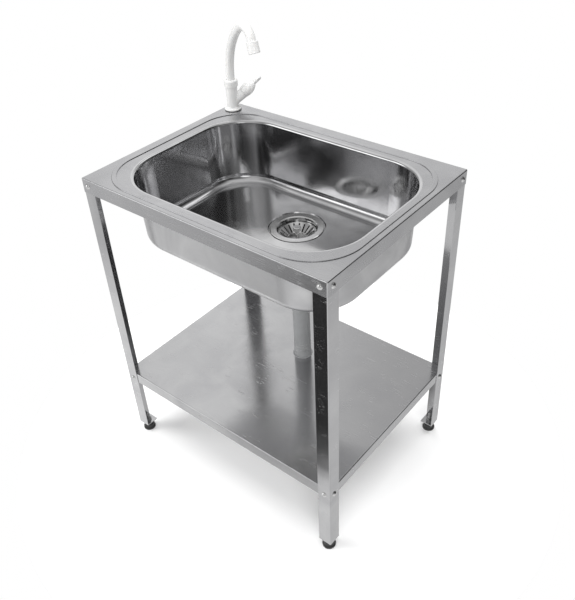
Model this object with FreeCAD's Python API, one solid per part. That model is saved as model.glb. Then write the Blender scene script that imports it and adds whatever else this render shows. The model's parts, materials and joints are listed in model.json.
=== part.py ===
"""A portable handwash sink: a pressed stainless top on four bolted angle legs, with a shelf,
a basket strainer and drain pipe, and a plastic swivel tap.  Millimetres, +X right, +Y back,
+Z up, origin on the floor under the centre of the top."""
import FreeCAD, Part
import math
import os

V = FreeCAD.Vector
up = V(0, 0, 1)

# ---- stand: overall sizes ----
width = 600.0
depth = 450.0
deck_height = 712.0
foot_height = 24.0

# ---- pressed top ----
sink_sheet = 1.0
apron_height = 31.0
fold_radius = 2.5
bowl_margin_left = 48.0
bowl_margin_right = 32.0
bowl_margin_front = 36.0
bowl_margin_back = 48.0
bowl_corner_radius = 108.0
bowl_depth = 143.0
bowl_lean = 7.0
bowl_floor_radius = 20.0
rim_roll_radius = 6.0
bowl_seam_margin = 1.0
bead_margin_left = 19.0
bead_margin_right = 16.0
bead_margin_front = 16.0
bead_margin_back = 24.0
bead_corner_radius = 96.0
bead_width = 10.0
bead_rise = 1.5
bead_round = 1.2

# ---- legs, shelf and their bolts ----
leg_sheet = 1.2
leg_flange = 30.0
leg_fold_radius = 2.0
leg_top_gap = 2.0
shelf_sheet = 1.0
shelf_height = 200.0
shelf_lip = 26.0
bolt_radius = 3.0
bolt_hole_clearance = 0.25
bolt_length = 10.0
bolt_head_radius = 6.0
bolt_head_height = 3.6
nut_across_flats = 10.0
nut_height = 5.0
thread_clearance = 0.05
deck_bolt_drop = 15.0
shelf_bolt_drop = 18.0

# ---- adjustable feet ----
plate_thickness = 2.0
foot_pad_radius = 14.5
foot_neck_radius = 12.6
foot_pad_height = 17.0
foot_socket_depth = 11.0
stud_radius = 4.0
stud_reach = 20.0
stud_hole_clearance = 0.25
foot_nut_across_flats = 13.0
jam_nut_height = 6.4
weld_nut_height = 6.5

# ---- basket strainer ----
drain_offset_x = 6.0
drain_offset_y = 59.0
drain_hole_radius = 45.0
flange_width = 12.0
flange_thickness = 1.5
recess_clearance = 4.0
recess_depth = 2.5
recess_slope = 1.5
upper_gasket_thickness = 1.0
lower_gasket_thickness = 3.0
lower_gasket_width = 9.0
cup_clearance = 1.5
cup_wall = 1.5
cup_depth = 40.0
cup_floor = 2.0
lock_ring_width = 9.5
lock_ring_height = 14.0
lock_ring_lugs = 8
lug_width = 10.0
lug_reach = 4.0
outlet_wall = 3.0
outlet_length = 28.0
ring_clearance = 0.1

basket_drop = 11.0
basket_clearance = 1.5
basket_wall = 1.0
basket_rim_width = 3.5
basket_floor_radius = 19.0
basket_depth = 15.0
basket_slots = 18
slot_width = 3.2
slot_floor_gap = 1.5
slot_rim_gap = 1.5
post_radius = 3.0
knob_stem_radius = 4.5
knob_radius = 9.0
knob_height = 8.0
knob_round = 2.5
stopper_overlap = 4.0
stopper_thickness = 5.0
seat_gap = 0.3

# ---- drain pipe ----
pipe_radius = 19.0
pipe_wall = 2.0
pipe_flange_width = 2.0
pipe_flange_height = 3.0
pipe_washer_thickness = 2.0
coupling_wall = 5.9
coupling_height = 27.0
coupling_lip = 4.0
coupling_ribs = 12
coupling_rib_size = 2.0
pipe_below_shelf = 65.0
spigot_step = 0.4
spigot_gap = 2.5
pipe_shift_x = -13.0
pipe_shift_y = 19.0
pipe_upper_bend = 45.0
pipe_lower_bend = 100.0
pipe_bend_share = 0.45
cuff_rise = 1.2
cuff_height = 36.0
cuff_groove_width = 2.4
cuff_groove_depth = 1.2
cuff_grooves = 3
cuff_groove_pitch = 7.0
grommet_wall = 2.4
grommet_flange_width = 2.0
grommet_flange_height = 1.5
grommet_clearance = 0.1

# ---- swivel tap ----
tap_from_left = 25.0
tap_from_back = 33.0
tap_gasket_thickness = 1.5
tap_gasket_inset = 1.0
tap_flange_width = 6.0
tap_flange_height = 3.5
tap_body_step = 1.5
tap_body_height = 54.0
tap_neck_wall = 1.92
tap_neck_height = 10.0
tap_socket_floor = 30.0
tap_waterway_radius = 6.0
tap_hole_clearance = 0.6
shank_radius = 10.4
shank_length = 48.0
lock_nut_across_flats = 30.0
lock_nut_height = 8.0
shank_relief_width = 1.5
shank_relief_depth = 1.0
collar_wall = 3.6
collar_height = 16.0
collar_round = 3.5

spout_radius = 9.5
spout_wall = 3.0
swivel_clearance = 0.08
moving_gap = 0.3
spout_turn = -18.0
spout_straight = 78.0
spout_rise_radius = 150.0
spout_rise_angle = 53.0
spout_crown_radius = 30.0
spout_crown_angle = 106.0
spout_nose = 11.0
retainer_width = 1.7
retainer_height = 1.9
seal_section_radius = 0.8
seal_count = 2
seal_pitch = 7.0
seal_first = 5.0
aerator_wall = 2.9
aerator_length = 24.0
aerator_overlap = 5.0
aerator_lip = 2.0
screen_thickness = 1.5
screen_hole_radius = 0.9

handle_azimuth = 50.0
handle_elevation = 38.0
handle_origin_height = 15.0
boss_root_radius = 9.5
boss_wall = 4.0
boss_length = 34.0
valve_chamber_start = 21.0
valve_chamber_radius = 8.0
valve_passage_radius = 3.5
cartridge_length = 12.0
stem_radius = 3.0
stem_clearance = 0.06
stem_start = 24.0
stem_socket = 12.0
handle_gap = 0.4
handle_overhang = 0.4
handle_belly = 1.6
handle_belly_at = 13.0
handle_shoulder_radius = 7.6
handle_length = 32.0
lever_width = 9.0
lever_thickness = 5.2
lever_reach = 19.0

# ---- places worked out from the sizes above ----
half_width = width / 2
half_depth = depth / 2
corners = {"front_left": (-1, -1), "front_right": (1, -1), "back_left": (-1, 1), "back_right": (1, 1)}
bowl_x = (-half_width + bowl_margin_left, half_width - bowl_margin_right)
bowl_y = (-half_depth + bowl_margin_front, half_depth - bowl_margin_back)
bead_x = (-half_width + bead_margin_left, half_width - bead_margin_right)
bead_y = (-half_depth + bead_margin_front, half_depth - bead_margin_back)
floor_z = deck_height - bowl_depth
deck_underside = deck_height - sink_sheet
drain_x = sum(bowl_x) / 2 + drain_offset_x
drain_y = sum(bowl_y) / 2 + drain_offset_y
cup_radius = drain_hole_radius - cup_clearance
flange_radius = drain_hole_radius + flange_width
recess_radius = flange_radius + recess_clearance
lower_gasket_radius = drain_hole_radius + lower_gasket_width
lock_ring_radius = cup_radius + lock_ring_width
basket_radius = cup_radius - cup_wall - basket_clearance
pipe_flange_radius = pipe_radius + pipe_flange_width
outlet_radius = pipe_flange_radius
outlet_bore_radius = outlet_radius - outlet_wall
stopper_radius = outlet_bore_radius + stopper_overlap
recess_z = floor_z - recess_depth
recess_underside = recess_z - sink_sheet
flange_z = recess_z + upper_gasket_thickness
flange_top = flange_z + flange_thickness
cup_bottom = flange_top - cup_depth
outlet_end = cup_bottom - cup_floor - outlet_length
lock_ring_top = recess_underside - lower_gasket_thickness
basket_rim_z = flange_top - basket_drop
basket_floor_z = basket_rim_z - basket_depth
stopper_z = cup_bottom + seat_gap
pipe_top = outlet_end - pipe_washer_thickness
pipe_end = shelf_height - pipe_below_shelf
coupling_radius = outlet_radius + ring_clearance + coupling_wall
cuff_radius = pipe_radius + cuff_rise
grommet_neck_radius = pipe_radius + grommet_clearance + grommet_wall
grommet_flange_radius = grommet_neck_radius + grommet_flange_width
pipe_x = drain_x + pipe_shift_x
pipe_y = drain_y + pipe_shift_y
cuff_z = shelf_height + grommet_flange_height + grommet_clearance
leg_top = deck_underside - leg_top_gap
leg_inner = sink_sheet + leg_sheet
foot_inset = sink_sheet + leg_flange / 2
tap_x = -half_width + tap_from_left
tap_y = half_depth - tap_from_back
tap_seat = deck_height + tap_gasket_thickness
tap_top = deck_height + tap_body_height
tap_neck_top = tap_top + tap_neck_height
socket_z = deck_height + tap_socket_floor
spout_end_z = socket_z + moving_gap
spout_bore_radius = spout_radius - spout_wall
tap_neck_radius = spout_radius + swivel_clearance + tap_neck_wall
tap_body_radius = tap_neck_radius + tap_body_step
tap_flange_radius = tap_body_radius + tap_flange_width
tap_gasket_radius = tap_flange_radius - tap_gasket_inset
collar_radius = tap_neck_radius + ring_clearance + collar_wall
retainer_radius = spout_radius + retainer_width
aerator_radius = spout_radius + aerator_wall
boss_end_radius = valve_chamber_radius + boss_wall
handle_start_radius = boss_end_radius + handle_overhang
handle_belly_radius = boss_end_radius + handle_belly
bolt_hole_radius = bolt_radius + bolt_hole_clearance


def cylinder(radius, z0, z1, x=0.0, y=0.0):
    return Part.makeCylinder(radius, z1 - z0, V(x, y, z0))


def tube(outer, inner, z0, z1, x=0.0, y=0.0):
    return cylinder(outer, z0, z1, x, y).cut(cylinder(inner, z0 - 1, z1 + 1, x, y))


def hexagon(across_flats, bore, z0, z1, x=0.0, y=0.0):
    """A hexagon nut with its axis along Z."""
    reach = across_flats / 2 / math.cos(math.pi / 6)
    points = [V(x + reach * math.cos(k * math.pi / 3), y + reach * math.sin(k * math.pi / 3), z0)
              for k in range(6)]
    nut = Part.Face(Part.makePolygon(points + points[:1])).extrude(V(0, 0, z1 - z0))
    return nut.cut(cylinder(bore, z0 - 1, z1 + 1, x, y))


def turned(profile, x=0.0, y=0.0):
    """A closed outline of (radius, z) points turned once round a vertical axis at x, y."""
    points = [V(radius, 0, z) for radius, z in profile]
    solid = Part.Face(Part.makePolygon(points + points[:1])).revolve(V(0, 0, 0), up, 360)
    solid.translate(V(x, y, 0))
    return solid


def rounded_rectangle(x_span, y_span, z, radius, grow=0.0):
    """A wire of four sides and four corner arcs, moved outwards all round by grow."""
    x0, x1 = x_span[0] - grow, x_span[1] + grow
    y0, y1 = y_span[0] - grow, y_span[1] + grow
    r = radius + grow
    s = r * math.sqrt(0.5)
    sides = [((x0 + r, y0), (x1 - r, y0)), ((x1, y0 + r), (x1, y1 - r)),
             ((x1 - r, y1), (x0 + r, y1)), ((x0, y1 - r), (x0, y0 + r))]
    middles = [(x1 - r + s, y0 + r - s), (x1 - r + s, y1 - r + s),
               (x0 + r - s, y1 - r + s), (x0 + r - s, y0 + r - s)]
    edges = []
    for k, (start, end) in enumerate(sides):
        following = sides[(k + 1) % 4][0]
        edges.append(Part.LineSegment(V(*start, z), V(*end, z)).toShape())
        edges.append(Part.Arc(V(*end, z), V(*middles[k], z), V(*following, z)).toShape())
    return Part.Wire(edges)


def rounded_block(x_span, y_span, z0, z1, radius, grow=0.0):
    return Part.Face(rounded_rectangle(x_span, y_span, z0, radius, grow)).extrude(V(0, 0, z1 - z0))


def level_edges(shape, z, x_span=None, y_span=None):
    """Edges that lie flat at height z, inside the spans where these are given."""
    found = []
    for edge in shape.Edges:
        box = edge.BoundBox
        if abs(box.ZMin - z) > 1e-3 or abs(box.ZMax - z) > 1e-3:
            continue
        if x_span and (box.XMin < x_span[0] or box.XMax > x_span[1]):
            continue
        if y_span and (box.YMin < y_span[0] or box.YMax > y_span[1]):
            continue
        found.append(edge)
    return found


def corner_box(corner, u_span, v_span, z0, z1):
    """A box measured inwards from the top's outline at one corner: u along X and v along Y."""
    side_x, side_y = corners[corner]
    xs = sorted(side_x * (half_width - u) for u in u_span)
    ys = sorted(side_y * (half_depth - v) for v in v_span)
    return Part.makeBox(xs[1] - xs[0], ys[1] - ys[0], z1 - z0, V(xs[0], ys[0], z0))


def corner_point(corner, u, v, z=0.0):
    side_x, side_y = corners[corner]
    return V(side_x * (half_width - u), side_y * (half_depth - v), z)


def aim(shape, point, direction):
    """Move a piece built on the Z axis so that its +Z points along direction from point."""
    shape = shape.copy()
    shape.Placement = FreeCAD.Placement(point, FreeCAD.Rotation(up, direction)).multiply(shape.Placement)
    return shape


def around(shape, count, x, y):
    """Copies of a shape, evenly spaced round a vertical axis at x, y."""
    copies = []
    for k in range(count):
        copy = shape.copy()
        copy.rotate(V(x, y, 0), up, k * 360.0 / count)
        copies.append(copy)
    return copies


# ---- bolted joints ----

def bolt_seats(drop_z, face_inset):
    """Where the two bolts of each corner sit: a point on the outer face and its outward normal."""
    seats = []
    for corner, (side_x, side_y) in corners.items():
        seats.append((corner_point(corner, foot_inset, face_inset, drop_z), V(0, side_y, 0)))
        seats.append((corner_point(corner, face_inset, foot_inset, drop_z), V(side_x, 0, 0)))
    return seats


deck_seats = bolt_seats(deck_height - deck_bolt_drop, 0.0)
shelf_seats = bolt_seats(shelf_height - shelf_bolt_drop, sink_sheet)


def bolts(seats):
    bulge = (bolt_head_radius ** 2 + bolt_head_height ** 2) / (2 * bolt_head_height)
    dome = Part.makeSphere(bulge, V(0, 0, bolt_head_height - bulge))
    head = cylinder(bolt_head_radius, 0, bolt_head_height + 1).common(dome)
    bolt = head.fuse(cylinder(bolt_radius, -bolt_length, 0)).removeSplitter()
    return Part.makeCompound([aim(bolt, point, normal) for point, normal in seats])


def nuts(seats, grip):
    nut = hexagon(nut_across_flats, bolt_radius + thread_clearance, -grip - nut_height, -grip)
    return Part.makeCompound([aim(nut, point, normal) for point, normal in seats])


def bolt_holes(seats):
    hole = cylinder(bolt_hole_radius, -bolt_length, 1)
    return [aim(hole, point, normal) for point, normal in seats]


# ---- pressed top and shelf ----

def folded_tray(x_half, y_half, top, lip, sheet):
    """A flat sheet with its four sides folded down; the block and the hollow under it."""
    block = rounded_block((-x_half, x_half), (-y_half, y_half), top - lip, top, fold_radius)
    block = block.makeFillet(fold_radius - 0.1, level_edges(block, top))
    hollow = rounded_block((-x_half, x_half), (-y_half, y_half), top - lip - 1, top - sheet,
                           fold_radius, -sheet)
    hollow = hollow.makeFillet(fold_radius - sheet - 0.1, level_edges(hollow, top - sheet))
    return block, hollow


def bowl_form(grow, bottom, floor_radius):
    """The bowl as a solid, its sides moved outwards by grow, from above the deck to bottom."""
    above = 1.0
    slope = bowl_lean / bowl_depth
    top_wire = rounded_rectangle(bowl_x, bowl_y, deck_height + above, bowl_corner_radius,
                                 grow + slope * above)
    bottom_wire = rounded_rectangle(bowl_x, bowl_y, bottom, bowl_corner_radius,
                                    grow - slope * (deck_height - bottom))
    form = Part.makeLoft([top_wire, bottom_wire], True, True)
    return form.makeFillet(floor_radius, level_edges(form, bottom))


def recess_form(grow, bottom, top):
    """The sloping pocket for the strainer's flange, its wall moved outwards by grow."""
    return Part.makeCone(recess_radius - recess_slope + grow, recess_radius + grow,
                         recess_depth, V(drain_x, drain_y, bottom)).fuse(
        cylinder(recess_radius + grow, bottom + recess_depth, top, drain_x, drain_y))


def bead_form(half, z0, z1, rounding):
    """The raised band round the bowl, half wide to each side of its middle line."""
    ring = rounded_block(bead_x, bead_y, z0, z1, bead_corner_radius, half)
    ring = ring.cut(rounded_block(bead_x, bead_y, z0 - 1, z1 + 1, bead_corner_radius, -half))
    return ring.makeFillet(rounding, level_edges(ring, z1))


def make_sink_top():
    block, hollow = folded_tray(half_width, half_depth, deck_height, apron_height, sink_sheet)
    outside = bowl_form(sink_sheet, floor_z - sink_sheet, bowl_floor_radius + sink_sheet)
    inside = bowl_form(0.0, floor_z, bowl_floor_radius)
    inside = inside.fuse(recess_form(0.0, recess_z, floor_z + 1))
    low_outside = outside.common(Part.makeBox(width, depth, deck_underside,
                                              V(-half_width, -half_depth, 0)))
    top = block.fuse(low_outside)
    top = top.fuse(recess_form(sink_sheet, recess_underside, floor_z))
    top = top.cut(inside)
    rim_zone = [(span[0] - 1, span[1] + 1) for span in (bowl_x, bowl_y)]
    top = top.makeFillet(rim_roll_radius, level_edges(top, deck_height, *rim_zone))
    hollow = hollow.cut(outside)
    rim_zone = [(span[0] - sink_sheet - 1, span[1] + sink_sheet + 1) for span in (bowl_x, bowl_y)]
    hollow = hollow.makeFillet(rim_roll_radius - sink_sheet,
                               level_edges(hollow, deck_underside, *rim_zone))
    top = top.cut(hollow)
    top = top.fuse(bead_form(bead_width / 2, deck_underside + sink_sheet / 2,
                             deck_height + bead_rise, bead_round))
    top = top.cut(bead_form(bead_width / 2 - sink_sheet, deck_underside - 1,
                            deck_underside + bead_rise, bead_round / 2))
    drain_hole = cylinder(drain_hole_radius, recess_underside - 1, floor_z, drain_x, drain_y)
    tap_hole = cylinder(shank_radius + tap_hole_clearance, deck_underside - 1, deck_height + 1,
                        tap_x, tap_y)
    return top.cut(drain_hole).cut(tap_hole).cut(bolt_holes(deck_seats))


def split_at_seam(top):
    """The pressed top as its deck and its bowl, welded edge to edge just outside the rolled rim."""
    inside_seam = rounded_block(bowl_x, bowl_y, 0, deck_height + 1, bowl_corner_radius,
                                rim_roll_radius + bowl_seam_margin)
    return top.cut(inside_seam), top.common(inside_seam)


def make_shelf():
    block, hollow = folded_tray(half_width - leg_inner, half_depth - leg_inner, shelf_height,
                                shelf_lip, shelf_sheet)
    pipe_hole = cylinder(grommet_neck_radius, shelf_height - shelf_lip, shelf_height + 1,
                         pipe_x, pipe_y)
    return block.cut(hollow).cut(pipe_hole).cut(bolt_holes(shelf_seats))


# ---- legs and feet ----

def make_leg(corner):
    outer_span = (sink_sheet, sink_sheet + leg_flange)
    inner_span = (leg_inner, sink_sheet + leg_flange + 1)
    leg = corner_box(corner, outer_span, outer_span, foot_height, leg_top)
    leg = leg.cut(corner_box(corner, inner_span, inner_span, foot_height - 1, leg_top + 1))
    for inset, radius in ((sink_sheet, leg_fold_radius), (leg_inner, leg_fold_radius - leg_sheet)):
        fold = corner_point(corner, inset, inset)
        edges = [e for e in leg.Edges if e.BoundBox.ZLength > leg_flange
                 and math.hypot(e.CenterOfMass.x - fold.x, e.CenterOfMass.y - fold.y) < 1e-3]
        leg = leg.makeFillet(radius, edges)
    return leg.cut(bolt_holes(deck_seats) + bolt_holes(shelf_seats))


def make_foot_plate(corner):
    span = (leg_inner, sink_sheet + leg_flange)
    plate = corner_box(corner, span, span, foot_height, foot_height + plate_thickness)
    centre = corner_point(corner, foot_inset, foot_inset)
    fold = corner_point(corner, leg_inner, leg_inner)
    edges = [e for e in plate.Edges if abs(e.BoundBox.ZLength - plate_thickness) < 1e-3
             and math.hypot(e.CenterOfMass.x - fold.x, e.CenterOfMass.y - fold.y) < 1e-3]
    plate = plate.makeFillet(leg_fold_radius - leg_sheet, edges)
    return plate.cut(cylinder(stud_radius + stud_hole_clearance, foot_height - 1,
                              foot_height + plate_thickness + 1, centre.x, centre.y))


def make_foot_pad(corner):
    centre = corner_point(corner, foot_inset, foot_inset)
    bevel = 1.0
    tread = 5.0
    waist = 1.4
    profile = [(0, 0), (foot_pad_radius - bevel, 0), (foot_pad_radius, bevel), (foot_pad_radius, tread),
               (foot_neck_radius, tread + waist), (foot_neck_radius, foot_pad_height - 2 * bevel),
               (foot_neck_radius - 2 * bevel, foot_pad_height), (stud_radius, foot_pad_height),
               (stud_radius, foot_pad_height - foot_socket_depth),
               (0, foot_pad_height - foot_socket_depth)]
    return turned(profile, centre.x, centre.y)


def make_foot_stud(corner):
    centre = corner_point(corner, foot_inset, foot_inset)
    return cylinder(stud_radius, foot_pad_height - foot_socket_depth,
                    foot_height + plate_thickness + stud_reach, centre.x, centre.y)


def foot_nuts(z0, z1):
    centres = [corner_point(corner, foot_inset, foot_inset) for corner in corners]
    return Part.makeCompound([hexagon(foot_nut_across_flats, stud_radius + thread_clearance,
                                      z0, z1, c.x, c.y) for c in centres])


# ---- basket strainer and drain pipe ----

def make_strainer_body():
    inner = cup_radius - cup_wall
    step = 1.2
    profile = [(cup_radius, flange_z), (flange_radius, flange_z), (flange_radius, flange_top - step / 2),
               (flange_radius - step, flange_top), (inner + 2 * step, flange_top - step / 2),
               (inner, flange_top - 2 * step), (inner, cup_bottom), (outlet_bore_radius, cup_bottom),
               (outlet_bore_radius, outlet_end), (outlet_radius, outlet_end),
               (outlet_radius, cup_bottom - cup_floor), (cup_radius, cup_bottom - cup_floor)]
    return turned(profile, drain_x, drain_y)


def make_lock_ring():
    z0 = lock_ring_top - lock_ring_height
    ring = tube(lock_ring_radius, cup_radius + ring_clearance, z0, lock_ring_top, drain_x, drain_y)
    lug = Part.makeBox(lug_reach + 1, lug_width, lock_ring_height - 2,
                       V(drain_x + lock_ring_radius - 1, drain_y - lug_width / 2, z0))
    return ring.fuse(around(lug, lock_ring_lugs, drain_x, drain_y))


def make_basket():
    slope_radius = basket_radius - basket_rim_width
    profile = [(basket_radius, basket_rim_z - basket_wall), (basket_radius, basket_rim_z),
               (slope_radius, basket_rim_z), (basket_floor_radius, basket_floor_z),
               (post_radius, basket_floor_z), (post_radius, basket_floor_z - basket_wall),
               (basket_floor_radius + basket_wall / 2, basket_floor_z - basket_wall),
               (slope_radius + basket_wall / 2, basket_rim_z - basket_wall)]
    basket = turned(profile, drain_x, drain_y)
    start = basket_floor_radius + slot_floor_gap
    slot = Part.makeBox(slope_radius - slot_rim_gap - start, slot_width, basket_depth + 3,
                        V(drain_x + start, drain_y - slot_width / 2, basket_floor_z - 2))
    return basket.cut(around(slot, basket_slots, drain_x, drain_y))


def make_basket_knob():
    top = flange_top + 0.5
    cap_z = top - knob_height
    cone = 2.0
    profile = [(0, stopper_z + cone), (post_radius, stopper_z + cone), (post_radius, basket_floor_z),
               (knob_stem_radius, basket_floor_z), (knob_stem_radius, cap_z - cone),
               (knob_radius, cap_z), (knob_radius, top), (0, top)]
    knob = turned(profile, drain_x, drain_y)
    return knob.makeFillet(knob_round, level_edges(knob, top))


def make_basket_stopper():
    bevel = 1.0
    profile = [(0, stopper_z), (stopper_radius - bevel, stopper_z), (stopper_radius, stopper_z + bevel),
               (stopper_radius, stopper_z + stopper_thickness), (post_radius, stopper_z + stopper_thickness),
               (post_radius, stopper_z + 2 * bevel), (0, stopper_z + 2 * bevel)]
    return turned(profile, drain_x, drain_y)


def make_drain_coupling():
    thread = outlet_radius + ring_clearance
    z0 = pipe_top - pipe_flange_height - coupling_lip
    z1 = z0 + coupling_height
    profile = [(pipe_radius + ring_clearance, z0), (coupling_radius - 2, z0), (coupling_radius, z0 + 2),
               (coupling_radius, z1), (thread, z1), (thread, z0 + coupling_lip),
               (pipe_radius + ring_clearance, z0 + coupling_lip)]
    rib = Part.makeBox(coupling_rib_size + 1, coupling_rib_size, coupling_height - 6,
                       V(drain_x + coupling_radius - 1, drain_y - coupling_rib_size / 2, z0 + 4))
    return turned(profile, drain_x, drain_y).fuse(around(rib, coupling_ribs, drain_x, drain_y))


def swept_rod(points, radius):
    """A round rod along straight runs joined by tangent arcs, each as large as its runs allow."""
    edges = []
    start = points[0]
    for before, corner, after in zip(points, points[1:], points[2:]):
        setback = pipe_bend_share * min((corner - before).Length, (after - corner).Length)
        into = (corner - before).normalize()
        out = (after - corner).normalize()
        half_turn = into.getAngle(out) / 2
        bend_radius = setback / math.tan(half_turn)
        inside = (out - into).normalize()
        middle = corner + inside * bend_radius * (1 / math.cos(half_turn) - 1)
        arc_start = corner - into * setback
        arc_end = corner + out * setback
        edges.append(Part.LineSegment(start, arc_start).toShape())
        edges.append(Part.Arc(arc_start, middle, arc_end).toShape())
        start = arc_end
    edges.append(Part.LineSegment(start, points[-1]).toShape())
    section = Part.Wire(Part.makeCircle(radius, points[0], points[1] - points[0]))
    return Part.Wire(edges).makePipeShell([section], True, True)


def make_drain_pipe():
    """A pipe that leaves the strainer straight down and jogs across to its hole in the shelf."""
    route = [V(drain_x, drain_y, pipe_top), V(drain_x, drain_y, pipe_top - pipe_upper_bend),
             V(pipe_x, pipe_y, shelf_height + pipe_lower_bend), V(pipe_x, pipe_y, pipe_end)]
    wall_middle = pipe_radius - pipe_wall / 2
    pipe = swept_rod(route, pipe_radius)
    pipe = pipe.fuse(cylinder(pipe_flange_radius, pipe_top - pipe_flange_height, pipe_top,
                              drain_x, drain_y))
    profile = [(wall_middle, cuff_z), (cuff_radius, cuff_z)]
    for k in range(cuff_grooves):
        z = cuff_z + cuff_height - (cuff_grooves - k) * cuff_groove_pitch
        profile += [(cuff_radius, z), (cuff_radius - cuff_groove_depth, z + cuff_groove_width / 2),
                    (cuff_radius, z + cuff_groove_width)]
    profile += [(cuff_radius, cuff_z + cuff_height), (wall_middle, cuff_z + cuff_height + 2)]
    pipe = pipe.fuse(turned(profile, pipe_x, pipe_y))
    spigot_top = shelf_height - shelf_sheet - grommet_flange_height - spigot_gap
    pipe = pipe.cut(tube(pipe_radius + 1, pipe_radius - spigot_step, pipe_end - 1, spigot_top,
                         pipe_x, pipe_y))
    return pipe.cut(swept_rod(route, pipe_radius - pipe_wall))


def make_pipe_grommet():
    bore = pipe_radius + grommet_clearance
    low = shelf_height - shelf_sheet
    profile = [(bore, low - grommet_flange_height), (grommet_flange_radius, low - grommet_flange_height),
               (grommet_flange_radius, low), (grommet_neck_radius, low),
               (grommet_neck_radius, shelf_height), (grommet_flange_radius, shelf_height),
               (grommet_flange_radius - 0.5, shelf_height + grommet_flange_height),
               (bore, shelf_height + grommet_flange_height)]
    return turned(profile, pipe_x, pipe_y)


# ---- swivel tap ----

elevation = math.radians(handle_elevation)
azimuth = math.radians(handle_azimuth)
handle_axis = V(math.cos(elevation) * math.cos(azimuth), math.cos(elevation) * math.sin(azimuth),
                math.sin(elevation))
handle_origin = V(tap_x, tap_y, deck_height + handle_origin_height)
boss_end = boss_length + handle_gap


def on_handle_axis(shape):
    """Place a piece that was built up the Z axis on the tap's slanting valve axis."""
    return aim(shape, handle_origin, handle_axis)


def make_tap_body():
    blend = 2.0
    relief_top = deck_underside - lock_nut_height
    relief_radius = shank_radius - shank_relief_depth
    outline = [(0, deck_height - shank_length), (shank_radius, deck_height - shank_length),
               (shank_radius, relief_top - shank_relief_width),
               (relief_radius, relief_top - shank_relief_width), (relief_radius, relief_top),
               (shank_radius, relief_top), (shank_radius, tap_seat), (tap_flange_radius, tap_seat),
               (tap_flange_radius, tap_seat + tap_flange_height - blend / 2),
               (tap_flange_radius - blend / 2, tap_seat + tap_flange_height),
               (tap_body_radius + blend, tap_seat + tap_flange_height),
               (tap_body_radius, tap_seat + tap_flange_height + blend),
               (tap_body_radius, tap_top), (tap_neck_radius, tap_top), (tap_neck_radius, tap_neck_top),
               (0, tap_neck_top)]
    body = turned(outline, tap_x, tap_y)
    boss = Part.makeCone(boss_root_radius, boss_end_radius, boss_length)
    body = body.fuse(on_handle_axis(boss))
    body = body.cut(cylinder(tap_waterway_radius, deck_height - shank_length - 1, socket_z + 1,
                             tap_x, tap_y))
    body = body.cut(cylinder(spout_radius + swivel_clearance, socket_z, tap_neck_top + 1, tap_x, tap_y))
    body = body.cut(on_handle_axis(cylinder(valve_chamber_radius, valve_chamber_start, boss_length + 1)))
    return body.cut(on_handle_axis(cylinder(valve_passage_radius, 0, valve_chamber_start + 1)))


def make_tap_collar():
    ceiling = tap_neck_top + moving_gap + retainer_height + moving_gap
    top = tap_top + collar_height
    outer = cylinder(collar_radius, tap_top, top, tap_x, tap_y)
    outer = outer.makeFillet(collar_round, level_edges(outer, top))
    outer = outer.makeFillet(collar_round / 3, level_edges(outer, tap_top))
    outer = outer.cut(cylinder(tap_neck_radius + ring_clearance, tap_top - 1, ceiling, tap_x, tap_y))
    return outer.cut(cylinder(spout_radius + moving_gap, ceiling - 1, top + 1, tap_x, tap_y))


def turn_spout(shape):
    """Turn a piece built in the XZ plane through the tap's axis towards the bowl."""
    shape = shape.copy()
    shape.rotate(V(tap_x, tap_y, 0), up, spout_turn)
    return shape


def arch_way(angle):
    return V(math.sin(math.radians(angle)), 0, math.cos(math.radians(angle)))


def arch_side(angle):
    return V(-math.cos(math.radians(angle)), 0, math.sin(math.radians(angle)))


rise_start = V(tap_x, tap_y, deck_height + spout_straight)
rise_centre = rise_start - arch_side(0) * spout_rise_radius
rise_end = rise_centre + arch_side(spout_rise_angle) * spout_rise_radius
crown_centre = rise_end - arch_side(spout_rise_angle) * spout_crown_radius
spout_bend_angle = spout_rise_angle + spout_crown_angle
crown_end = crown_centre + arch_side(spout_bend_angle) * spout_crown_radius
spout_direction = arch_way(spout_bend_angle)
spout_tip = crown_end + spout_direction * spout_nose


def seal_heights():
    return [spout_end_z + seal_first + k * seal_pitch for k in range(seal_count)]


def spout_section(centre, direction):
    section = Part.Face(Part.Wire(Part.makeCircle(spout_radius, centre, direction)))
    return section.cut(Part.Face(Part.Wire(Part.makeCircle(spout_bore_radius, centre, direction))))


def make_spout():
    rise = spout_section(rise_start, up).revolve(rise_centre, V(0, 1, 0), spout_rise_angle)
    crown = spout_section(rise_end, arch_way(spout_rise_angle))
    crown = crown.revolve(crown_centre, V(0, 1, 0), spout_crown_angle)
    nose = spout_section(crown_end, spout_direction).extrude(spout_direction * spout_nose)
    straight = tube(spout_radius, spout_bore_radius, spout_end_z, rise_start.z, tap_x, tap_y)
    for z in seal_heights():
        straight = straight.cut(tube(spout_radius + 1, spout_radius - 2 * seal_section_radius,
                                     z - seal_section_radius, z + seal_section_radius, tap_x, tap_y))
    return turn_spout(straight.fuse([rise, crown, nose]))


def make_spout_seals():
    middle = spout_radius - seal_section_radius
    return Part.makeCompound([Part.makeTorus(middle, seal_section_radius, V(tap_x, tap_y, z))
                              for z in seal_heights()])


def make_aerator_shell():
    length = aerator_length
    outer = cylinder(aerator_radius, 0, length)
    outer = outer.makeFillet(1.5, level_edges(outer, length))
    outer = outer.makeFillet(1.5, level_edges(outer, 0))
    outer = outer.cut(cylinder(spout_radius, -1, aerator_overlap))
    outer = outer.cut(cylinder(spout_radius, aerator_overlap - 1, length - aerator_lip))
    outer = outer.cut(cylinder(spout_radius - 1, length - aerator_lip - 1, length + 1))
    return turn_spout(aim(outer, spout_tip - spout_direction * aerator_overlap, spout_direction))


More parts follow.
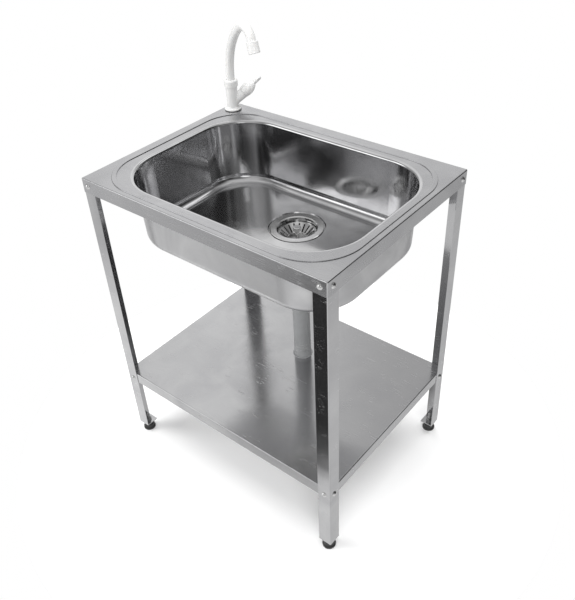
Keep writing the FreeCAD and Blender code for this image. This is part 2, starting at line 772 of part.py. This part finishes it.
def make_aerator_screen():
    z1 = aerator_length - aerator_lip
    screen = cylinder(spout_radius, z1 - screen_thickness, z1)
    holes = [cylinder(screen_hole_radius, z1 - screen_thickness - 1, z1 + 1)]
    for ring in (1, 2):
        pitch = ring * 3.2
        hole = cylinder(screen_hole_radius, z1 - screen_thickness - 1, z1 + 1, pitch, 0)
        holes += around(hole, 6 * ring, 0, 0)
    screen = screen.cut(holes)
    return turn_spout(aim(screen, spout_tip - spout_direction * aerator_overlap, spout_direction))


def make_cartridge():
    start = valve_chamber_start
    return on_handle_axis(tube(valve_chamber_radius, stem_radius + stem_clearance, start,
                               start + cartridge_length))


def make_handle():
    """A teardrop grip with a flat lever at its end, turned about the valve axis."""
    start = boss_end
    end = start + handle_length
    belly = V(handle_belly_radius, 0, start + handle_belly_at)
    shoulder = V(handle_shoulder_radius, 0, end - 3)
    side = Part.BSplineCurve()
    side.interpolate([V(handle_start_radius, 0, start), belly,
                      V((handle_belly_radius + handle_shoulder_radius) / 2 + 1, 0,
                        (belly.z + shoulder.z) / 2 + 1), shoulder])
    edges = [Part.LineSegment(V(0, 0, start), V(handle_start_radius, 0, start)).toShape(),
             side.toShape(),
             Part.LineSegment(shoulder, V(handle_shoulder_radius - 3, 0, end)).toShape(),
             Part.LineSegment(V(handle_shoulder_radius - 3, 0, end), V(0, 0, end)).toShape(),
             Part.LineSegment(V(0, 0, end), V(0, 0, start)).toShape()]
    grip = Part.Face(Part.Wire(edges)).revolve(V(0, 0, 0), up, 360)
    lever = Part.makeBox(lever_thickness, lever_width, lever_reach + 6,
                         V(-lever_thickness / 2, -lever_width / 2, end - 6))
    lever = lever.makeFillet(lever_width / 2 - 0.1,
                             [e for e in lever.Edges if e.BoundBox.XLength > lever_thickness - 0.01
                              and e.BoundBox.ZMin > end + lever_reach - 0.01])
    socket = cylinder(stem_radius, start - 1, start + stem_socket)
    return on_handle_axis(grip.fuse(lever).cut(socket))


def make_stem():
    return on_handle_axis(cylinder(stem_radius, stem_start, boss_end + stem_socket))


# ---- the pieces, one file each ----

sink_deck, sink_bowl = split_at_seam(make_sink_top())
nodes = {
    "sink_deck": sink_deck,
    "sink_bowl": sink_bowl,
    "shelf": make_shelf(),
    "deck_bolts": bolts(deck_seats),
    "deck_nuts": nuts(deck_seats, sink_sheet + leg_sheet),
    "shelf_bolts": bolts(shelf_seats),
    "shelf_nuts": nuts(shelf_seats, leg_sheet + shelf_sheet),
    "foot_jam_nuts": foot_nuts(foot_height - jam_nut_height, foot_height),
    "foot_weld_nuts": foot_nuts(foot_height + plate_thickness,
                                foot_height + plate_thickness + weld_nut_height),
    "strainer_body": make_strainer_body(),
    "upper_gasket": tube(flange_radius - 1, drain_hole_radius, recess_z, flange_z, drain_x, drain_y),
    "lower_gasket": tube(lower_gasket_radius, cup_radius + ring_clearance, lock_ring_top,
                         recess_underside, drain_x, drain_y),
    "strainer_lock_ring": make_lock_ring(),
    "strainer_basket": make_basket(),
    "basket_knob": make_basket_knob(),
    "basket_stopper": make_basket_stopper(),
    "drain_coupling": make_drain_coupling(),
    "coupling_washer": tube(outlet_radius, pipe_radius - pipe_wall, pipe_top, outlet_end,
                            drain_x, drain_y),
    "drain_pipe": make_drain_pipe(),
    "pipe_grommet": make_pipe_grommet(),
    "tap_body": make_tap_body(),
    "tap_gasket": tube(tap_gasket_radius, shank_radius + ring_clearance, deck_height, tap_seat,
                       tap_x, tap_y),
    "tap_lock_nut": hexagon(lock_nut_across_flats, shank_radius + thread_clearance,
                            deck_underside - lock_nut_height, deck_underside, tap_x, tap_y),
    "tap_collar": make_tap_collar(),
    "spout": make_spout(),
    "spout_retainer": tube(retainer_radius, spout_radius, tap_neck_top + moving_gap,
                           tap_neck_top + moving_gap + retainer_height, tap_x, tap_y),
    "spout_seals": make_spout_seals(),
    "aerator_shell": make_aerator_shell(),
    "aerator_screen": make_aerator_screen(),
    "valve_cartridge": make_cartridge(),
    "valve_stem": make_stem(),
    "tap_handle": make_handle(),
}
for corner in corners:
    nodes["leg_" + corner] = make_leg(corner)
    nodes["foot_plate_" + corner] = make_foot_plate(corner)
    nodes["foot_pad_" + corner] = make_foot_pad(corner)
    nodes["foot_stud_" + corner] = make_foot_stud(corner)

os.makedirs("parts", exist_ok=True)
for name, shape in nodes.items():
    shape.exportStep(os.path.join("parts", name + ".step"))
    print(name, "solids", len(shape.Solids), "volume", round(shape.Volume, 1), "valid", shape.isValid())
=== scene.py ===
import json
import math
import bmesh
import bpy
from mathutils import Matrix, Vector


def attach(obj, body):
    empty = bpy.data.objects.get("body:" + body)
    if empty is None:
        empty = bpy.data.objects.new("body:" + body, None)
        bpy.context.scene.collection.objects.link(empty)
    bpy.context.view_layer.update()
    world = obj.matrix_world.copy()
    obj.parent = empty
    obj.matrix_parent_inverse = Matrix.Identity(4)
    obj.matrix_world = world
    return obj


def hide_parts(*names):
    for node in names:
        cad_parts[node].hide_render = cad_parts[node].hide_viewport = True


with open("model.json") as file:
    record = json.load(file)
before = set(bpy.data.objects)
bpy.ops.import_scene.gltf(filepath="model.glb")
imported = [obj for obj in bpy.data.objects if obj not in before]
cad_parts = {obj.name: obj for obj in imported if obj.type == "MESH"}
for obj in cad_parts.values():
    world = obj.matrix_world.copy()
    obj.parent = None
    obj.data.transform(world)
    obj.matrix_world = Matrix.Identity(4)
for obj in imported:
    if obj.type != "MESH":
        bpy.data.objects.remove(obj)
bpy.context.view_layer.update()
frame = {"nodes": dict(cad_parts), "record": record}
nodes = frame["nodes"]
print("frame loaded:", len(nodes), "nodes")


def newMaterial(name):
    material = bpy.data.materials.new(name)
    material.use_nodes = True
    tree = material.node_tree
    return material, tree, tree.nodes["Principled BSDF"]


def objectPoint(tree, scale=(1, 1, 1)):
    # object coordinates, stretched per axis
    coordinates = tree.nodes.new("ShaderNodeTexCoord")
    mapping = tree.nodes.new("ShaderNodeMapping")
    mapping.inputs["Scale"].default_value = scale
    tree.links.new(coordinates.outputs["Object"], mapping.inputs["Vector"])
    return mapping.outputs["Vector"]


def noise(tree, vector, scale, detail=2.0, roughness=0.5, distortion=0.0):
    node = tree.nodes.new("ShaderNodeTexNoise")
    node.inputs["Scale"].default_value = scale
    node.inputs["Detail"].default_value = detail
    node.inputs["Roughness"].default_value = roughness
    node.inputs["Distortion"].default_value = distortion
    tree.links.new(vector, node.inputs["Vector"])
    return node.outputs["Fac"]


def spread(tree, value, low, high, fromLow=0.0, fromHigh=1.0):
    # map a value from one range to another
    node = tree.nodes.new("ShaderNodeMapRange")
    node.inputs["From Min"].default_value = fromLow
    node.inputs["From Max"].default_value = fromHigh
    node.inputs["To Min"].default_value = low
    node.inputs["To Max"].default_value = high
    tree.links.new(value, node.inputs["Value"])
    return node.outputs["Result"]


def calc(tree, operation, a, b=None):
    node = tree.nodes.new("ShaderNodeMath")
    node.operation = operation
    for socket, value in zip(node.inputs, (a, b)):
        if value is None:
            continue
        if isinstance(value, (int, float)):
            socket.default_value = value
        else:
            tree.links.new(value, socket)
    return node.outputs["Value"]


def mixColour(tree, factor, first, second):
    node = tree.nodes.new("ShaderNodeMix")
    node.data_type = "RGBA"
    for socket, value in ((node.inputs[0], factor), (node.inputs[6], first), (node.inputs[7], second)):
        if isinstance(value, tuple):
            socket.default_value = (*value, 1)
        elif isinstance(value, (int, float)):
            socket.default_value = value
        else:
            tree.links.new(value, socket)
    return node.outputs[2]


def bump(tree, height, distance, strength=1.0, before=None):
    node = tree.nodes.new("ShaderNodeBump")
    node.inputs["Strength"].default_value = strength
    node.inputs["Distance"].default_value = distance
    tree.links.new(height, node.inputs["Height"])
    if before is not None:
        tree.links.new(before, node.inputs["Normal"])
    return node.outputs["Normal"]


def feed(tree, shader, socket, value):
    tree.links.new(value, shader.inputs[socket])


# the range in which nearly all values of a noise lie
noiseSpan = (0.3, 0.7)

steelLooks = {
    # grain and scratch run along the axis or axes with the small numbers
    "deckSteel": {
        "colour": (0.53, 0.53, 0.538), "dull": (0.45, 0.45, 0.462), "roughLow": 0.19, "roughHigh": 0.31,
        "grain": (5, 500, 500), "grainDepth": 0.000004, "wave": 6.0, "waveDepth": 0.0010,
        "scratch": (4, 160, 160), "scratchShare": 0.10},
    "shelfSteel": {
        "colour": (0.56, 0.56, 0.565), "dull": (0.48, 0.48, 0.49), "roughLow": 0.13, "roughHigh": 0.22,
        "grain": (6, 500, 500), "grainDepth": 0.000006, "wave": 3.5, "waveDepth": 0.0012,
        "scratch": (5, 140, 140), "scratchShare": 0.06},
    "legSteel": {
        "colour": (0.58, 0.58, 0.585), "dull": (0.47, 0.47, 0.48), "roughLow": 0.06, "roughHigh": 0.12,
        "grain": (500, 500, 6), "grainDepth": 0.000003, "wave": 12.0, "waveDepth": 0.0005,
        "scratch": (30, 30, 300), "scratchShare": 0.55},
}
steelMarks = {
    "smudge": (11.0, 4.0, 0.55, 0.6), "toneSpan": (0.25, 0.75), "smudgeShare": 0.7, "grainShare": 0.3,
    "lineWidth": 0.012, "patch": 30.0, "patchSpan": (0.52, 0.62), "scratchColour": (0.85, 0.85, 0.86),
    "scratchRough": 0.25,
}


def makeSteel(name, look):
    material, tree, shader = newMaterial(name)
    marks = steelMarks
    grain = noise(tree, objectPoint(tree, look["grain"]), 1.0, 3.0, 0.6)
    smudge = noise(tree, objectPoint(tree), *marks["smudge"])
    cloud = noise(tree, objectPoint(tree), look["wave"], 1.0)
    # thin lines where a stretched noise crosses its middle, kept in a few patches
    crossing = calc(tree, "SUBTRACT", noise(tree, objectPoint(tree, look["scratch"]), 1.0, 2.0), 0.5)
    lines = spread(tree, calc(tree, "ABSOLUTE", crossing), 1.0, 0.0, 0.0, marks["lineWidth"])
    patches = spread(tree, noise(tree, objectPoint(tree), marks["patch"], 2.0), 0.0, 1.0, *marks["patchSpan"])
    scratch = calc(tree, "MULTIPLY", lines, patches)
    tone = spread(tree, smudge, 0.0, 1.0, *marks["toneSpan"])
    metal = mixColour(tree, tone, look["colour"], look["dull"])
    scratchShare = calc(tree, "MULTIPLY", scratch, look["scratchShare"])
    feed(tree, shader, "Base Color", mixColour(tree, scratchShare, metal, marks["scratchColour"]))
    uneven = calc(tree, "ADD", calc(tree, "MULTIPLY", smudge, marks["smudgeShare"]),
                  calc(tree, "MULTIPLY", grain, marks["grainShare"]))
    rough = spread(tree, uneven, look["roughLow"], look["roughHigh"], *noiseSpan)
    scratchRough = calc(tree, "MULTIPLY", scratch, marks["scratchRough"])
    feed(tree, shader, "Roughness", calc(tree, "ADD", rough, scratchRough))
    shader.inputs["Metallic"].default_value = 1.0
    waves = bump(tree, cloud, look["waveDepth"])
    feed(tree, shader, "Normal", bump(tree, grain, look["grainDepth"], 1.0, waves))
    return material


bowlLook = {
    "colour": (0.64, 0.64, 0.645), "dull": (0.55, 0.55, 0.56), "insideLow": 0.09, "insideHigh": 0.18,
    "outsideLow": 0.30, "outsideHigh": 0.42, "middle": (0.008, -0.006, 0.73), "turnOver": 0.01,
    "smudge": (13.0, 4.0, 0.55, 0.8), "wave": 6.0, "waveDepth": 0.0018, "dimple": 22.0, "dimpleDepth": 0.0003,
    "grain": (260, 260, 9), "grainDepth": 0.000004,
}


def makeBowlSteel(name, look):
    # polished on the faces that look in at the middle, left dull on the others
    material, tree, shader = newMaterial(name)
    inwards = tree.nodes.new("ShaderNodeVectorMath")
    inwards.operation = "SUBTRACT"
    inwards.inputs[0].default_value = look["middle"]
    tree.links.new(tree.nodes.new("ShaderNodeTexCoord").outputs["Object"], inwards.inputs[1])
    facing = tree.nodes.new("ShaderNodeVectorMath")
    facing.operation = "DOT_PRODUCT"
    tree.links.new(inwards.outputs["Vector"], facing.inputs[0])
    tree.links.new(tree.nodes.new("ShaderNodeNewGeometry").outputs["Normal"], facing.inputs[1])
    outside = spread(tree, facing.outputs["Value"], 1.0, 0.0, -look["turnOver"], look["turnOver"])
    smudge = noise(tree, objectPoint(tree), *look["smudge"])
    grain = noise(tree, objectPoint(tree, look["grain"]), 1.0, 3.0)
    tone = spread(tree, smudge, 0.0, 1.0, *noiseSpan)
    feed(tree, shader, "Base Color", mixColour(tree, tone, look["colour"], look["dull"]))
    polished = spread(tree, smudge, look["insideLow"], look["insideHigh"], *noiseSpan)
    rolled = spread(tree, smudge, look["outsideLow"], look["outsideHigh"], *noiseSpan)
    inside = calc(tree, "SUBTRACT", 1.0, outside)
    feed(tree, shader, "Roughness", calc(tree, "ADD", calc(tree, "MULTIPLY", rolled, outside),
                                         calc(tree, "MULTIPLY", polished, inside)))
    shader.inputs["Metallic"].default_value = 1.0
    waves = bump(tree, noise(tree, objectPoint(tree), look["wave"], 1.0), look["waveDepth"])
    dimples = bump(tree, noise(tree, objectPoint(tree), look["dimple"], 1.0), look["dimpleDepth"], 1.0, waves)
    feed(tree, shader, "Normal", bump(tree, grain, look["grainDepth"], 1.0, dimples))
    return material


chromeLooks = {
    "boltChrome": {"colour": (0.74, 0.74, 0.74), "rough": 0.12, "mark": 900.0},
    "strainerChrome": {"colour": (0.72, 0.72, 0.72), "rough": 0.10, "mark": 500.0},
    "nutSteel": {"colour": (0.55, 0.55, 0.55), "rough": 0.30, "mark": 700.0},
}
chromeMarks = {"hazeShare": 1 / 8, "darker": 0.82, "roughSpan": (0.7, 1.6), "depth": 0.00002}


def makeChrome(name, look):
    material, tree, shader = newMaterial(name)
    marks = noise(tree, objectPoint(tree), look["mark"], 3.0, 0.6)
    haze = noise(tree, objectPoint(tree), look["mark"] * chromeMarks["hazeShare"], 2.0)
    dark = tuple(c * chromeMarks["darker"] for c in look["colour"])
    low, high = (look["rough"] * share for share in chromeMarks["roughSpan"])
    feed(tree, shader, "Base Color", mixColour(tree, haze, look["colour"], dark))
    feed(tree, shader, "Roughness", spread(tree, haze, low, high, *noiseSpan))
    shader.inputs["Metallic"].default_value = 1.0
    feed(tree, shader, "Normal", bump(tree, marks, chromeMarks["depth"]))
    return material


plasticLooks = {
    # through is how much light gets under the surface
    "tapPlastic": {"colour": (0.63, 0.63, 0.625), "rough": 0.22, "grain": 90.0, "depth": 0.00025,
                   "coat": 0.35, "through": 0.12},
    "drainPlastic": {"colour": (0.66, 0.66, 0.65), "rough": 0.42, "grain": 400.0, "depth": 0.00006},
    "pipePlastic": {"colour": (0.30, 0.305, 0.31), "rough": 0.38, "grain": 500.0, "depth": 0.00008},
    "screenPlastic": {"colour": (0.60, 0.60, 0.58), "rough": 0.40, "grain": 900.0, "depth": 0.00003},
    "footRubber": {"colour": (0.018, 0.018, 0.018), "rough": 0.45, "grain": 900.0, "depth": 0.00010},
    "gasketRubber": {"colour": (0.03, 0.03, 0.03), "rough": 0.6, "grain": 1400.0, "depth": 0.00006},
}
plasticMarks = {
    "patchShare": 1 / 10, "darker": 0.9, "most": 0.6, "patchSpan": (0.35, 0.7), "roughSpan": (0.8, 1.3),
    "coatRough": 0.08, "spill": (1.0, 0.9, 0.8), "spillDepth": 0.002,
}


def makePlastic(name, look):
    material, tree, shader = newMaterial(name)
    marks = plasticMarks
    grain = noise(tree, objectPoint(tree), look["grain"], 4.0, 0.6)
    patch = noise(tree, objectPoint(tree), look["grain"] * marks["patchShare"], 2.0)
    dark = tuple(c * marks["darker"] for c in look["colour"])
    low, high = (look["rough"] * share for share in marks["roughSpan"])
    tone = spread(tree, patch, 0.0, marks["most"], *marks["patchSpan"])
    feed(tree, shader, "Base Color", mixColour(tree, tone, look["colour"], dark))
    feed(tree, shader, "Roughness", spread(tree, patch, low, high, *noiseSpan))
    shader.inputs["Coat Weight"].default_value = look.get("coat", 0.0)
    shader.inputs["Coat Roughness"].default_value = marks["coatRough"]
    shader.inputs["Subsurface Weight"].default_value = look.get("through", 0.0)
    shader.inputs["Subsurface Radius"].default_value = marks["spill"]
    shader.inputs["Subsurface Scale"].default_value = marks["spillDepth"]
    feed(tree, shader, "Normal", bump(tree, grain, look["depth"]))
    return material


brassLook = {"colour": (0.62, 0.44, 0.20), "dull": (0.48, 0.33, 0.15), "rough": (0.18, 0.35), "haze": 300.0}


def makeBrass(name, look):
    material, tree, shader = newMaterial(name)
    haze = noise(tree, objectPoint(tree), look["haze"], 3.0)
    feed(tree, shader, "Base Color", mixColour(tree, haze, look["colour"], look["dull"]))
    feed(tree, shader, "Roughness", spread(tree, haze, *look["rough"]))
    shader.inputs["Metallic"].default_value = 1.0
    return material


materials = {name: makeSteel(name, look) for name, look in steelLooks.items()}
materials["bowlSteel"] = makeBowlSteel("bowlSteel", bowlLook)
materials.update({name: makeChrome(name, look) for name, look in chromeLooks.items()})
materials.update({name: makePlastic(name, look) for name, look in plasticLooks.items()})
materials["tapBrass"] = makeBrass("tapBrass", brassLook)
print("materials made:", len(materials))

finishOfSlot = {
    "top_steel": "deckSteel", "bowl_steel": "bowlSteel", "shelf_steel": "shelfSteel", "leg_steel": "legSteel",
    "bolt_steel": "boltChrome", "nut_steel": "nutSteel", "strainer_steel": "strainerChrome",
    "gasket_rubber": "gasketRubber", "foot_rubber": "footRubber", "drain_plastic": "drainPlastic",
    "pipe_plastic": "pipePlastic", "tap_plastic": "tapPlastic", "screen_plastic": "screenPlastic",
    "brass_inner": "tapBrass",
}
for part in frame["record"]["subparts"]:
    piece = nodes[part["node"]]
    piece.data.materials.clear()
    piece.data.materials.append(materials[finishOfSlot[part["material_slot"]]])
print("frame finished")


def newGroup(name, labels):
    # a tree that takes points or a line, the labelled numbers and a material
    group = bpy.data.node_groups.new(name, "GeometryNodeTree")
    group.interface.new_socket("Geometry", in_out="INPUT", socket_type="NodeSocketGeometry")
    for label in labels:
        group.interface.new_socket(label, in_out="INPUT", socket_type="NodeSocketFloat")
    group.interface.new_socket("Material", in_out="INPUT", socket_type="NodeSocketMaterial")
    group.interface.new_socket("Geometry", in_out="OUTPUT", socket_type="NodeSocketGeometry")
    return group, group.nodes.new("NodeGroupInput").outputs, group.nodes.new("NodeGroupOutput")


def addNode(group, kind, links, values=None, mode=None):
    # links and values go from the name of an input to its source or its value
    node = group.nodes.new("GeometryNode" + kind)
    if mode:
        node.mode = mode
    for key, source in links.items():
        group.links.new(source, node.inputs[key])
    for key, value in (values or {}).items():
        node.inputs[key].default_value = value
    return node.outputs


def finishGroup(group, given, leave, geometry):
    loose = addNode(group, "RealizeInstances", {"Geometry": geometry})
    coated = addNode(group, "SetMaterial", {"Geometry": loose["Geometry"], "Material": given["Material"]})
    group.links.new(coated["Geometry"], leave.inputs["Geometry"])


def ringStack(sides):
    # one round rib at every step along a line
    group, given, leave = newGroup("ringStack", ("Ring Radius", "Rib Radius", "Step"))
    line = addNode(group, "MeshToCurve", {"Mesh": given["Geometry"]})
    steps = addNode(group, "ResampleCurve", {"Curve": line["Curve"], "Length": given["Step"]}, mode="LENGTH")
    stops = addNode(group, "CurveToPoints", {"Curve": steps["Curve"]}, mode="EVALUATED")
    ring = addNode(group, "CurvePrimitiveCircle", {"Radius": given["Ring Radius"]}, {"Resolution": sides[0]})
    section = addNode(group, "CurvePrimitiveCircle", {"Radius": given["Rib Radius"]},
                      {"Resolution": sides[1]})
    rib = addNode(group, "CurveToMesh", {"Curve": ring["Curve"], "Profile Curve": section["Curve"]})
    placed = addNode(group, "InstanceOnPoints", {"Points": stops["Points"], "Instance": rib["Mesh"],
                                                 "Rotation": stops["Rotation"]})
    finishGroup(group, given, leave, placed["Instances"])
    return group


def lifted(group, geometry, height):
    offset = group.nodes.new("ShaderNodeCombineXYZ")
    group.links.new(height, offset.inputs["Z"])
    moved = addNode(group, "Transform", {"Geometry": geometry, "Translation": offset.outputs["Vector"]})
    return moved["Geometry"]


def threadRod(sides):
    # a core with a ridge wound round it, set on each point of the mesh it is given
    group, given, leave = newGroup("threadRod", ("Core Radius", "Ridge Radius", "Ridge Size", "Height",
                                                 "Ridge Height", "Turns"))
    winding = addNode(group, "CurveSpiral", {
        "Rotations": given["Turns"], "Height": given["Ridge Height"],
        "Start Radius": given["Ridge Radius"], "End Radius": given["Ridge Radius"]},
        {"Resolution": sides["turn"]})
    section = addNode(group, "CurvePrimitiveCircle", {"Radius": given["Ridge Size"]},
                      {"Resolution": sides["ridge"]})
    ridge = addNode(group, "CurveToMesh", {"Curve": winding["Curve"], "Profile Curve": section["Curve"]},
                    {"Fill Caps": True})
    core = addNode(group, "MeshCylinder", {"Radius": given["Core Radius"], "Depth": given["Height"]},
                   {"Vertices": sides["core"]})
    both = group.nodes.new("GeometryNodeJoinGeometry")
    middle = calc(group, "MULTIPLY", given["Height"], 0.5)
    smooth = calc(group, "SUBTRACT", given["Height"], given["Ridge Height"])
    group.links.new(lifted(group, core["Mesh"], middle), both.inputs["Geometry"])
    group.links.new(lifted(group, ridge["Mesh"], smooth), both.inputs["Geometry"])
    placed = addNode(group, "InstanceOnPoints", {"Points": given["Geometry"],
                                                 "Instance": both.outputs["Geometry"]})
    finishGroup(group, given, leave, placed["Instances"])
    return group


weldDistance = 0.000001


def bakePiece(name, points, group, values, body, slot):
    mesh = bpy.data.meshes.new(name)
    mesh.from_pydata(points, [(k, k + 1) for k in range(len(points) - 1)], [])
    piece = bpy.data.objects.new(name, mesh)
    bpy.context.scene.collection.objects.link(piece)
    modifier = piece.modifiers.new("shape", "NODES")
    modifier.node_group = group
    keys = {item.name: item.identifier for item in group.interface.items_tree if item.in_out == "INPUT"}
    for label, value in values.items():
        modifier[keys[label]] = value
    modifier[keys["Material"]] = materials[finishOfSlot[slot]]
    bpy.context.view_layer.update()
    shaped = bpy.data.meshes.new_from_object(piece.evaluated_get(bpy.context.evaluated_depsgraph_get()))
    piece.modifiers.clear()
    piece.data = shaped
    shaped.name = name
    clean = bmesh.new()
    clean.from_mesh(shaped)
    bmesh.ops.remove_doubles(clean, verts=clean.verts, dist=weldDistance)
    bmesh.ops.recalc_face_normals(clean, faces=clean.faces)
    clean.to_mesh(shaped)
    clean.free()
    for face in shaped.polygons:
        face.use_smooth = True
    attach(piece, body)
    return piece


def boxOf(piece):
    corners = [piece.matrix_world @ Vector(corner) for corner in piece.bound_box]
    return [min(c[k] for c in corners) for k in range(3)], [max(c[k] for c in corners) for k in range(3)]


studThread = {"pitch": 0.00125, "depth": 0.00055, "smooth": 0.010,
              "sides": {"turn": 32, "ridge": 4, "core": 48}}
rodGroup = threadRod(studThread["sides"])
slots = {part["node"]: part["material_slot"] for part in frame["record"]["subparts"]}
for corner in ("front_left", "front_right", "back_left", "back_right"):
    node = "foot_stud_" + corner
    low, high = boxOf(nodes[node])
    depth = studThread["depth"]
    root = (high[0] - low[0]) / 2 - depth
    tall = high[2] - low[2]
    wound = tall - studThread["smooth"]
    values = {"Core Radius": root, "Ridge Radius": root, "Ridge Size": depth, "Height": tall,
              "Ridge Height": wound - depth, "Turns": wound / studThread["pitch"]}
    foot = ((low[0] + high[0]) / 2, (low[1] + high[1]) / 2, low[2])
    thread = bakePiece("thread_" + corner, [foot], rodGroup, values, "foot_" + corner, slots[node])
    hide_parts(node)

# the ribs follow the pipe's middle line from under its nut to its cuff
pipeRibs = {
    "route": [(0.014, 0.053, 0.474), (0.014, 0.053, 0.452), (0.001, 0.072, 0.300), (0.001, 0.072, 0.243)],
    "setback": (0.02025, 0.0545), "bendSteps": 12, "radius": 0.0189, "rib": 0.0010, "step": 0.0040,
    "sides": (56, 6),
}
route = [Vector(point) for point in pipeRibs["route"]]
bendSteps = pipeRibs["bendSteps"]
line = [route[0]]
for before, corner, after, setback in zip(route, route[1:], route[2:], pipeRibs["setback"]):
    first = corner + (before - corner).normalized() * setback
    last = corner + (after - corner).normalized() * setback
    for t in (k / bendSteps for k in range(bendSteps + 1)):
        line.append(first * (1 - t) ** 2 + corner * 2 * t * (1 - t) + last * t ** 2)
line.append(route[-1])
values = {"Ring Radius": pipeRibs["radius"], "Rib Radius": pipeRibs["rib"], "Step": pipeRibs["step"]}
bakePiece("pipe_ribs", line, ringStack(pipeRibs["sides"]), values, "stand", "pipe_plastic")
print("threads and ribs made")

floorPlan = {"radius": 0.66, "sides": 96, "colour": (0.91, 0.91, 0.91), "shade": (0.89, 0.89, 0.89),
             "rough": (0.75, 0.85), "patch": 7.0}
floorMesh = bpy.data.meshes.new("floor")
floorShape = bmesh.new()
bmesh.ops.create_circle(floorShape, cap_ends=True, radius=floorPlan["radius"], segments=floorPlan["sides"])
floorShape.to_mesh(floorMesh)
floorShape.free()
floor = bpy.data.objects.new("floor", floorMesh)
bpy.context.scene.collection.objects.link(floor)
floorMaterial, floorTree, floorShader = newMaterial("floorPaint")
floorPatch = noise(floorTree, objectPoint(floorTree), floorPlan["patch"], 3.0)
feed(floorTree, floorShader, "Base Color",
     mixColour(floorTree, floorPatch, floorPlan["colour"], floorPlan["shade"]))
feed(floorTree, floorShader, "Roughness", spread(floorTree, floorPatch, *floorPlan["rough"]))
floorMesh.materials.append(floorMaterial)
floor.visible_glossy = False

studio = {
    "room": 0.45, "mottle": 0.12, "mottleScale": 1.7, "least": 0.04, "backdrop": 1.0,
    "glows": [
        # direction, cosine where it begins, cosine where it is full, brightness added
        ((0.0, 0.0, 1.0), 0.45, 0.98, 0.25),
        ((0.0, 0.0, -1.0), -0.05, 0.45, 0.42),
        ((-0.60, 0.75, 0.20), 0.84, 0.985, 0.55),
        ((-0.62, -0.74, 0.24), 0.90, 0.985, 1.60),
        ((0.80, 0.52, 0.30), 0.60, 0.95, -0.42),
        ((0.50, 0.65, -0.57), 0.70, 0.92, -0.24),
        ((-0.45, -0.592, -0.668), 0.985, 0.9935, -1.10),
        ((-0.45, -0.60, 0.66), 0.90, 0.98, -0.22),
        ((0.70, -0.50, 0.45), 0.85, 0.95, -0.30),
        ((0.05, 0.65, 0.76), 0.96, 0.99, 0.70),
        ((0.56, -0.72, 0.40), 0.975, 0.993, 1.30),
        ((-0.66, 0.30, 0.69), 0.90, 0.985, 0.45),
        ((-0.62, -0.36, -0.70), 0.965, 0.988, 0.35),
        ((-0.58, -0.56, -0.59), 0.965, 0.99, -0.30),
    ],
    "lights": [
        # name, place, aimed at, side, power
        ("topFill", (0.0, 0.3, 3.0), (0, 0, 0.4), 3.0, 100),
        ("leftFill", (-2.4, -2.0, 1.6), (0, 0, 0.5), 1.8, 62),
        ("rightFill", (2.3, -2.3, 1.2), (0, 0, 0.5), 1.8, 75),
    ],
}
world = bpy.data.worlds.new("studio")
world.use_nodes = True
bpy.context.scene.world = world
sky = world.node_tree
direction = sky.nodes.new("ShaderNodeTexCoord").outputs["Generated"]
mottle = noise(sky, direction, studio["mottleScale"], 2.0)
brightness = spread(sky, mottle, -studio["mottle"], studio["mottle"], *noiseSpan)
brightness = calc(sky, "ADD", brightness, studio["room"])
for towards, edge, core, amount in studio["glows"]:
    facing = sky.nodes.new("ShaderNodeVectorMath")
    facing.operation = "DOT_PRODUCT"
    facing.inputs[1].default_value = Vector(towards).normalized()
    sky.links.new(direction, facing.inputs[0])
    glow = spread(sky, facing.outputs["Value"], 0.0, amount, edge, core)
    sky.nodes[-1].interpolation_type = "SMOOTHSTEP"
    brightness = calc(sky, "ADD", brightness, glow)
brightness = calc(sky, "MAXIMUM", brightness, studio["least"])
# the backdrop is plain where it is looked at, and shaped only in what it lights
seen = sky.nodes.new("ShaderNodeLightPath").outputs["Is Camera Ray"]
strength = sky.nodes.new("ShaderNodeMix")
sky.links.new(seen, strength.inputs[0])
sky.links.new(brightness, strength.inputs[2])
strength.inputs[3].default_value = studio["backdrop"]
sky.links.new(strength.outputs[0], sky.nodes["Background"].inputs["Strength"])
sky.nodes["Background"].inputs["Color"].default_value = (1, 1, 1, 1)
for name, place, target, side, power in studio["lights"]:
    lamp = bpy.data.lights.new(name, "AREA")
    lamp.shape = "RECTANGLE"
    lamp.size, lamp.size_y, lamp.energy = side, side, power
    light = bpy.data.objects.new(name, lamp)
    light.location = place
    light.rotation_euler = (Vector(target) - Vector(place)).to_track_quat("-Z", "Y").to_euler()
    light.visible_camera = False
    light.visible_glossy = False
    bpy.context.scene.collection.objects.link(light)

cameraView = {"place": (0.836, -0.942, 1.367), "turn": (52.5, 2.479, 38.9), "lens": 43.4, "clip": (0.01, 50)}
camera = bpy.data.objects.new("camera", bpy.data.cameras.new("camera"))
camera.location = cameraView["place"]
camera.rotation_euler = [math.radians(a) for a in cameraView["turn"]]
camera.data.lens = cameraView["lens"]
camera.data.clip_start, camera.data.clip_end = cameraView["clip"]
bpy.context.scene.collection.objects.link(camera)
bpy.context.scene.camera = camera
bpy.context.scene.view_settings.view_transform = "Standard"
print("stage set")
